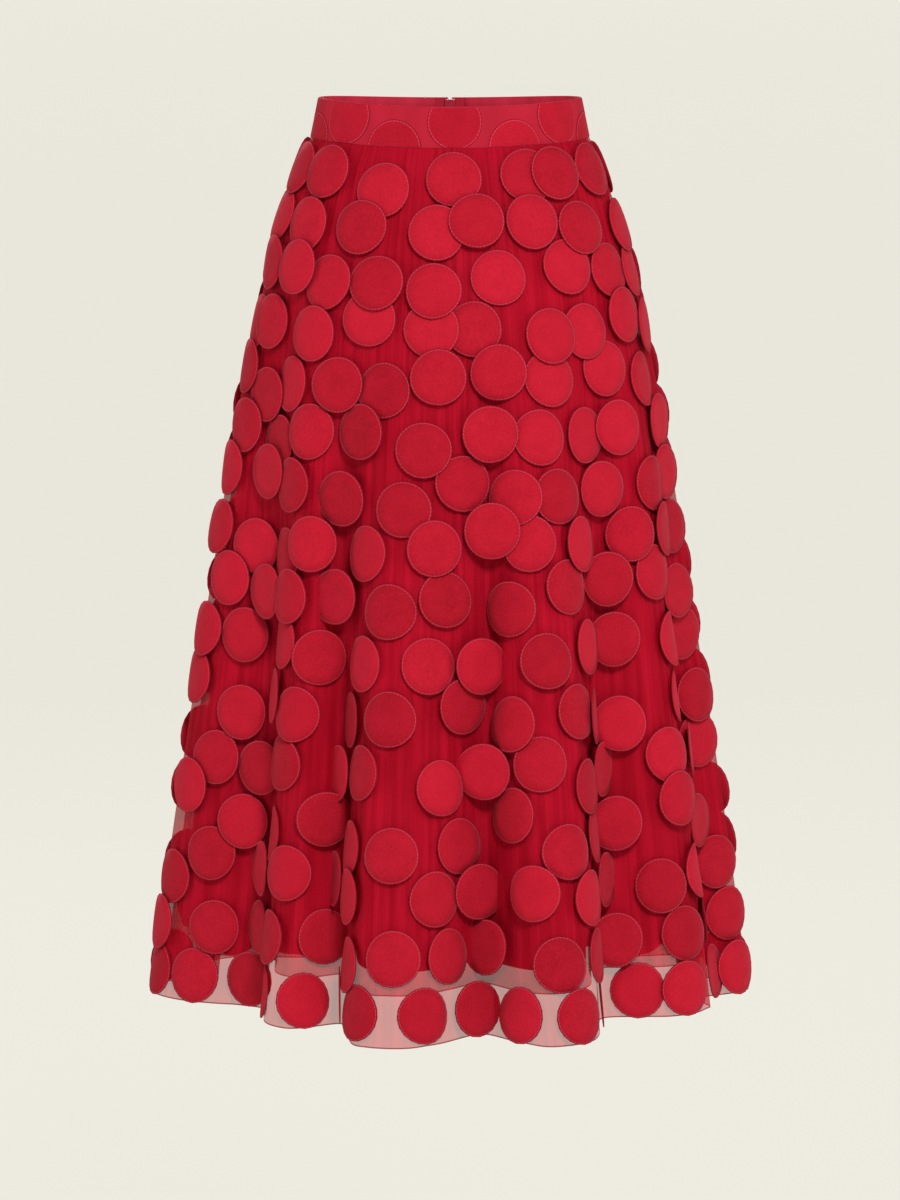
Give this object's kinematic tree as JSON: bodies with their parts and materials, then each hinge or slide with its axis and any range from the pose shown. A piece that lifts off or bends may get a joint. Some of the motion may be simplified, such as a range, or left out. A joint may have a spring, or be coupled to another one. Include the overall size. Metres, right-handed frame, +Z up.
{
  "type": "tulle skirt",
  "caption": "High-waisted flared midi skirt in red tulle with round sewn-on appliques, an under layer, a lining, a shaped waistband and a concealed back zip.",
  "frame": {"origin": "centre of the waistband at half its depth, on the skirt's upright axis, where the wearer's waist holds it", "axes": "+Z up towards the waist opening, -Y towards the front, +X towards the wearer's left"},
  "size_m": [0.545, 0.5096, 0.81],
  "materials": {
    "spotted_band": "matte woven band with flat appliques",
    "facing_cloth": "plain woven facing",
    "outer_tulle": "sheer net with matte woven round appliques",
    "under_tulle": "sheer net",
    "lining": "smooth opaque lining",
    "zip_tape": "woven zip tape",
    "zip_metal": "red lacquered die-cast metal"
  },
  "bodies": {
    "skirt": {"waistband_front": "spotted_band", "waistband_back_left": "spotted_band", "waistband_back_right": "spotted_band", "band_facing_front": "facing_cloth", "band_facing_back_left": "facing_cloth", "band_facing_back_right": "facing_cloth", "outer_front": "outer_tulle", "outer_back_left": "outer_tulle", "outer_back_right": "outer_tulle", "under_tulle_front": "under_tulle", "under_tulle_back_left": "under_tulle", "under_tulle_back_right": "under_tulle", "lining_front": "lining", "lining_back_left": "lining", "lining_back_right": "lining", "zip_tape_left": "zip_tape", "zip_tape_right": "zip_tape", "zip_slider": "zip_metal"},
    "zip_pull": {"zip_pull_tab": "zip_metal"}
  },
  "joints": [
    {"name": "pull_hinge", "type": "hinge", "parent": "skirt", "child": "zip_pull", "pos_m": [0, 0.09427, 0.00945], "axis": [1, 0, 0], "range_deg": [0, 150]}
  ]
}
